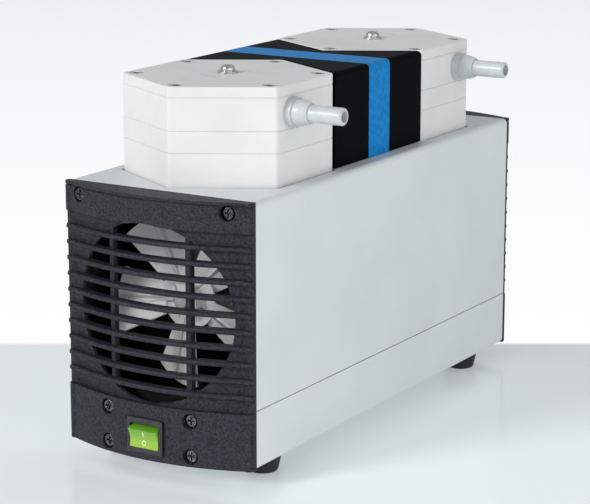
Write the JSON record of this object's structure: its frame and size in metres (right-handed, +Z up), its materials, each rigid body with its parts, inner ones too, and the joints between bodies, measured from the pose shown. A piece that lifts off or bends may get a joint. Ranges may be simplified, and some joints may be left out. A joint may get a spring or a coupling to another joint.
{
  "type": "diaphragm vacuum pump",
  "caption": "Twin-head oil-free diaphragm vacuum pump: two hexagonal plastic heads side by side on a sheet-metal motor housing with slatted end covers.",
  "frame": {"origin": "on the ground under the middle of the sheet-metal housing", "axes": "+Y along the motor shaft from the switch end to the mains inlet end, +X towards the side the hose nozzles point to, +Z up"},
  "size_m": [0.1487, 0.3469, 0.2233],
  "materials": {
    "painted_sheet_steel": "satin powder coat",
    "black_moulded_plastic": "fine spark-eroded grain",
    "zinc_plated_steel": "zinc plated",
    "black_rubber": "matt",
    "cast_aluminium": "as cast",
    "electrical_steel": "stacked sheets",
    "copper_winding": "enamelled wire",
    "ground_steel": "ground",
    "fan_sheet": "white lacquer",
    "head_plastic": "fine matt",
    "nozzle_plastic": "turned fluoropolymer",
    "diaphragm_rubber": "fluoropolymer faced",
    "blue_stripe_plastic": "satin",
    "green_switch_plastic": "translucent",
    "terminal_plastic": "moulded"
  },
  "bodies": {
    "housing": {"base_tray": "painted_sheet_steel", "bridge_cover": "black_moulded_plastic", "bridge_stripe": "blue_stripe_plastic", "centre_screws": "ground_steel", "centre_washers": "ground_steel", "cover_screws": "zinc_plated_steel", "crankcase_screws": "zinc_plated_steel", "foot_front_left": "black_rubber", "foot_front_right": "black_rubber", "foot_rear_left": "black_rubber", "foot_rear_right": "black_rubber", "foot_screws": "zinc_plated_steel", "front_clamp_ring": "head_plastic", "front_cover": "black_moulded_plastic", "front_crankcase": "cast_aluminium", "front_diaphragm": "diaphragm_rubber", "front_head_lid": "head_plastic", "front_head_plate": "head_plastic", "front_hose_nozzle": "nozzle_plastic", "front_hose_nut": "nozzle_plastic", "front_motor_bearing": "ground_steel", "front_port_plate": "head_plastic", "front_valves": "diaphragm_rubber", "head_screws": "zinc_plated_steel", "housing_cover": "painted_sheet_steel", "inlet_pins": "zinc_plated_steel", "mains_inlet": "black_moulded_plastic", "mains_lead": "black_rubber", "motor_housing": "cast_aluminium", "rear_clamp_ring": "head_plastic", "rear_cover": "black_moulded_plastic", "rear_crankcase": "cast_aluminium", "rear_diaphragm": "diaphragm_rubber", "rear_head_lid": "head_plastic", "rear_head_plate": "head_plastic", "rear_hose_nozzle": "nozzle_plastic", "rear_hose_nut": "nozzle_plastic", "rear_motor_bearing": "ground_steel", "rear_port_plate": "head_plastic", "rear_valves": "diaphragm_rubber", "run_capacitor": "cast_aluminium", "stator_core": "electrical_steel", "stator_windings": "copper_winding", "switch_body": "black_moulded_plastic", "terminal_block": "terminal_plastic", "tie_rods": "zinc_plated_steel", "transfer_tube": "nozzle_plastic"},
    "rotor": {"rotor_core": "electrical_steel", "motor_shaft": "ground_steel", "front_eccentric": "ground_steel", "rear_eccentric": "ground_steel", "front_fan": "fan_sheet", "rear_fan": "fan_sheet"},
    "front_rod": {"front_connecting_rod": "cast_aluminium", "front_rod_bearing": "ground_steel", "front_clamp_disc": "cast_aluminium"},
    "rear_rod": {"rear_connecting_rod": "cast_aluminium", "rear_rod_bearing": "ground_steel", "rear_clamp_disc": "cast_aluminium"},
    "rocker": {"switch_rocker": "green_switch_plastic"}
  },
  "joints": [
    {"name": "rotor_spin", "type": "hinge", "parent": "housing", "child": "rotor", "pos_m": [0, 0, 0.0952], "axis": [0, 1, 0], "continuous": true},
    {"name": "front_rod_turn", "type": "hinge", "parent": "rotor", "child": "front_rod", "pos_m": [0, -0.0843, 0.0977], "axis": [0, 1, 0], "continuous": true, "deforming": ["front_diaphragm"]},
    {"name": "rear_rod_turn", "type": "hinge", "parent": "rotor", "child": "rear_rod", "pos_m": [0, 0.0843, 0.0927], "axis": [0, 1, 0], "continuous": true, "deforming": ["rear_diaphragm"]},
    {"name": "switch_rock", "type": "hinge", "parent": "housing", "child": "rocker", "pos_m": [0, -0.1658, 0.0255], "axis": [1, 0, 0], "range_deg": [-20, 0]}
  ],
  "couplings": [
    {"joint": "front_rod_turn", "follows": "rotor_spin", "ratio": -1},
    {"joint": "rear_rod_turn", "follows": "rotor_spin", "ratio": -1}
  ]
}
